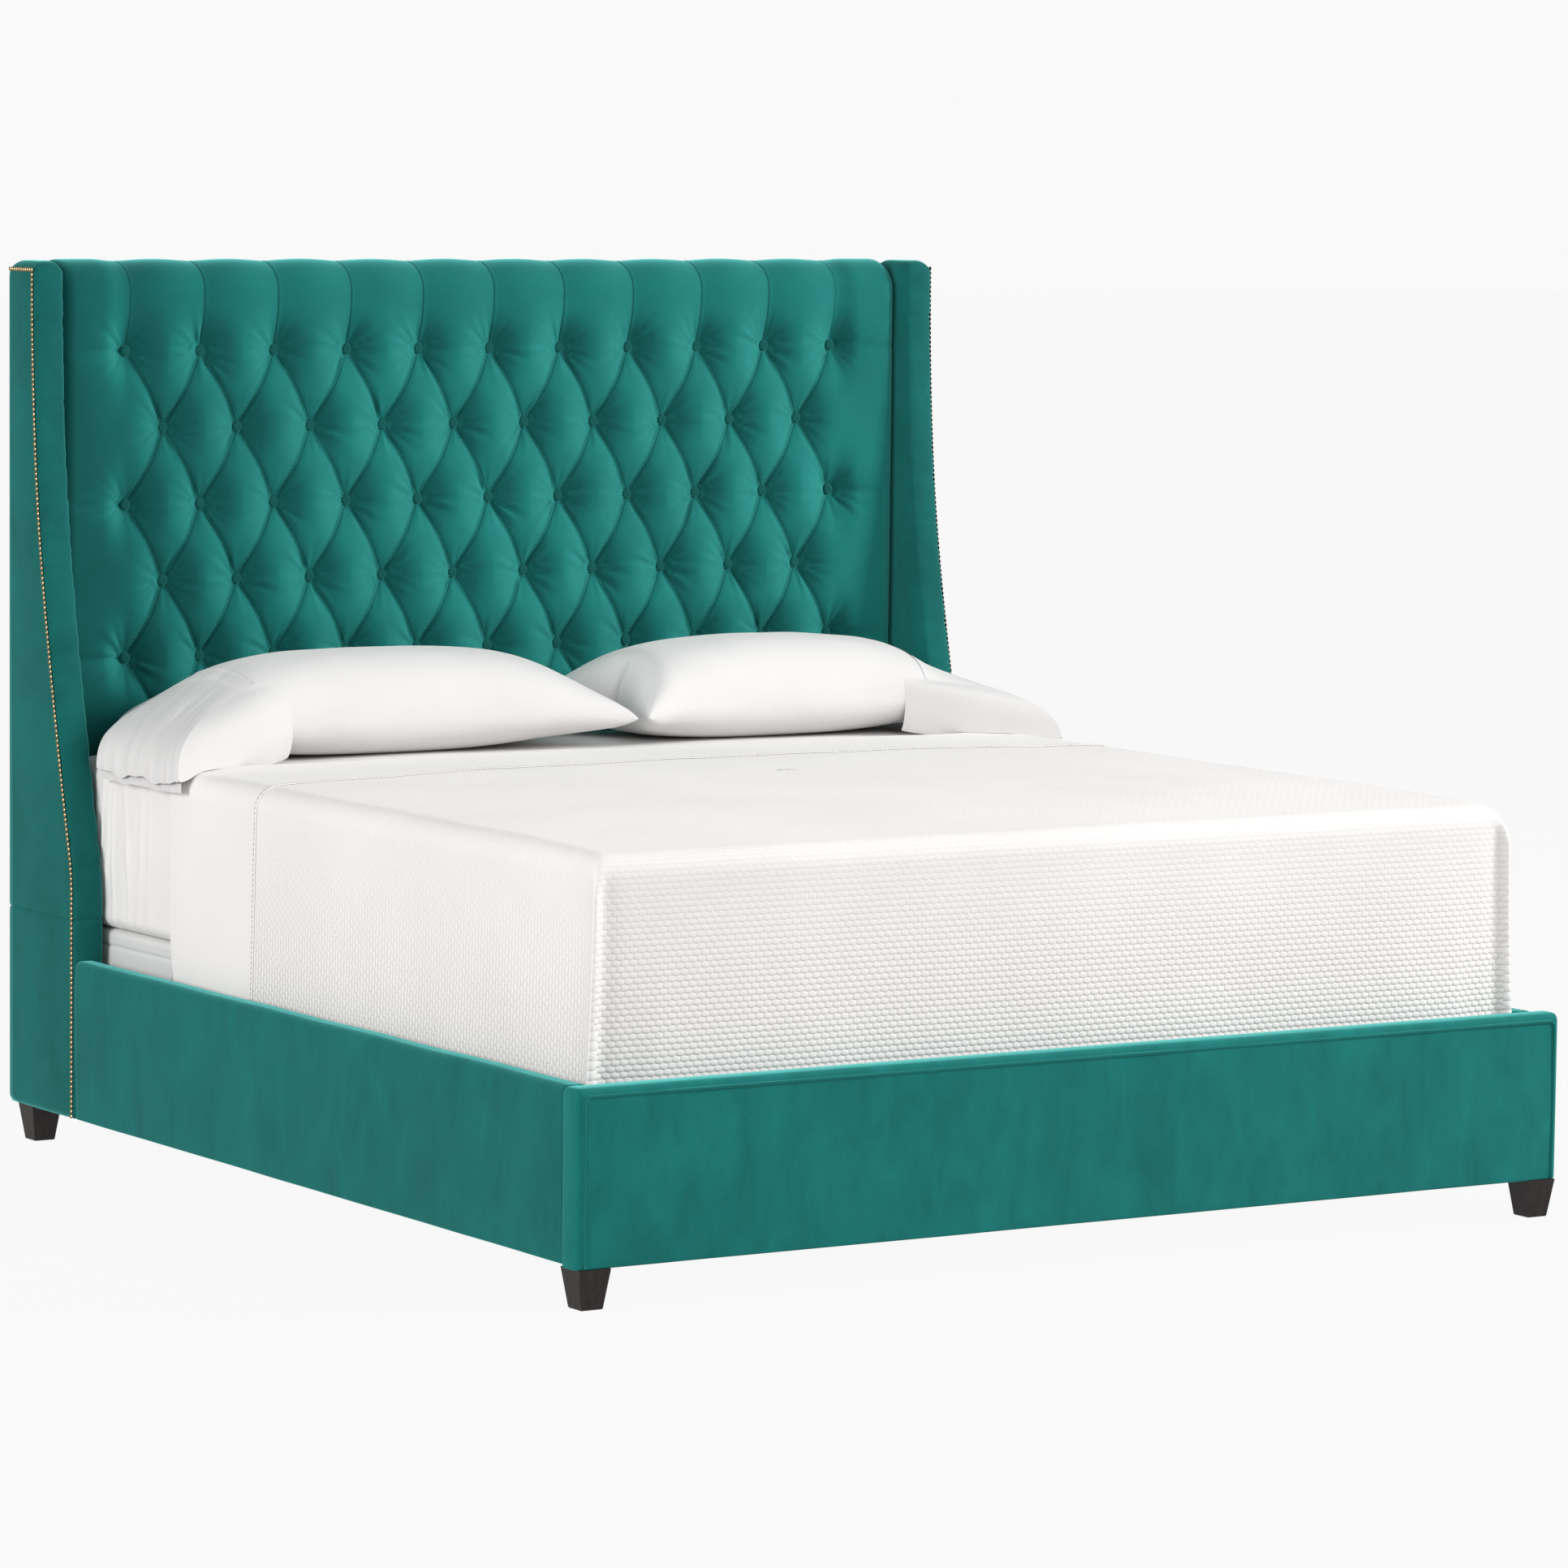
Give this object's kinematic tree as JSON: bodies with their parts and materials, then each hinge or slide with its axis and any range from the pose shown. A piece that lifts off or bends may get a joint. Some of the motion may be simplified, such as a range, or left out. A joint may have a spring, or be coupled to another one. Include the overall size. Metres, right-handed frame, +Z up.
{
  "type": "upholstered headboard bed",
  "caption": "Wingback bed upholstered in velvet, with a deep-buttoned headboard, nailhead trim, box spring, mattress, coverlet and pillows.",
  "frame": {"origin": "on the floor, under the centre of the bed's footprint", "axes": "+X to the right as seen from the foot, +Y towards the head, +Z up"},
  "size_m": [2.08, 2.21, 1.7],
  "materials": {
    "teal_velvet": "matte",
    "teal_welt": "matte",
    "button_velvet": "matte",
    "back_lining": "matte",
    "upholstery_foam": "matte",
    "plywood": "matte",
    "pine": "matte",
    "espresso_wood": "satin",
    "antique_brass": "satin",
    "zinc_steel": "satin",
    "black_steel": "satin",
    "spring_steel": "satin",
    "waxed_twine": "matte",
    "ticking_white": "matte",
    "tape_edge": "matte",
    "mattress_fill": "matte",
    "sheet_cotton": "matte",
    "matelasse_cotton": "matte",
    "pillow_fill": "matte",
    "pillowcase_cotton": "matte"
  },
  "bodies": {
    "bed_frame": {"beam_brackets": "black_steel", "centre_beam": "pine", "centre_leg_foot": "black_steel", "centre_leg_head": "black_steel", "foot_back_left": "espresso_wood", "foot_back_right": "espresso_wood", "foot_front_left": "espresso_wood", "foot_front_right": "espresso_wood", "foot_studs": "zinc_steel", "footboard_board": "pine", "footboard_cover": "teal_velvet", "footboard_foam": "upholstery_foam", "footboard_welt": "teal_welt", "headboard_back_cover": "back_lining", "headboard_cover": "teal_velvet", "headboard_foam": "upholstery_foam", "headboard_frame": "pine", "headboard_tuft_board": "plywood", "nailhead_trim_left": "antique_brass", "nailhead_trim_right": "antique_brass", "rail_board_left": "pine", "rail_board_right": "pine", "rail_catch_plates": "zinc_steel", "rail_cover_left": "teal_velvet", "rail_cover_right": "teal_velvet", "rail_foam_left": "upholstery_foam", "rail_foam_right": "upholstery_foam", "rail_hook_plates": "zinc_steel", "rail_ledger_left": "pine", "rail_ledger_right": "pine", "slat_1": "pine", "slat_2": "pine", "slat_3": "pine", "slat_4": "pine", "slat_5": "pine", "tuft_buttons": "button_velvet", "tuft_twines": "waxed_twine", "wing_bolts": "zinc_steel", "wing_cover_left": "teal_velvet", "wing_cover_right": "teal_velvet", "wing_foam_left": "upholstery_foam", "wing_foam_right": "upholstery_foam", "wing_frame_left": "plywood", "wing_frame_right": "plywood", "wood_screws": "zinc_steel"},
    "foundation": {"foundation_cover": "ticking_white", "foundation_frame": "pine", "foundation_springs": "spring_steel"},
    "mattress": {"mattress_core": "mattress_fill", "mattress_cover": "ticking_white", "mattress_piping": "tape_edge", "fitted_sheet": "sheet_cotton", "flat_sheet": "sheet_cotton", "coverlet": "matelasse_cotton"},
    "left_pillow": {"pillow_left": "pillow_fill", "pillowcase_left": "pillowcase_cotton"},
    "right_pillow": {"pillow_right": "pillow_fill", "pillowcase_right": "pillowcase_cotton"},
    "head_leveller": {"leveller_head": "zinc_steel"},
    "foot_leveller": {"leveller_foot": "zinc_steel"}
  },
  "joints": [
    {"name": "foundation_lift", "type": "slide", "parent": "bed_frame", "child": "foundation", "axis": [0, 0, 1], "range_m": [0, 0.35]},
    {"name": "mattress_lift", "type": "slide", "parent": "foundation", "child": "mattress", "axis": [0, 0, 1], "range_m": [0, 0.6]},
    {"name": "left_pillow_lift", "type": "slide", "parent": "mattress", "child": "left_pillow", "axis": [0, 0, 1], "range_m": [0, 0.45]},
    {"name": "right_pillow_lift", "type": "slide", "parent": "mattress", "child": "right_pillow", "axis": [0, 0, 1], "range_m": [0, 0.45]},
    {"name": "head_leveller_screw", "type": "slide", "parent": "bed_frame", "child": "head_leveller", "axis": [0, 0, 1], "range_m": [0, 0.018]},
    {"name": "foot_leveller_screw", "type": "slide", "parent": "bed_frame", "child": "foot_leveller", "axis": [0, 0, 1], "range_m": [0, 0.018]}
  ]
}
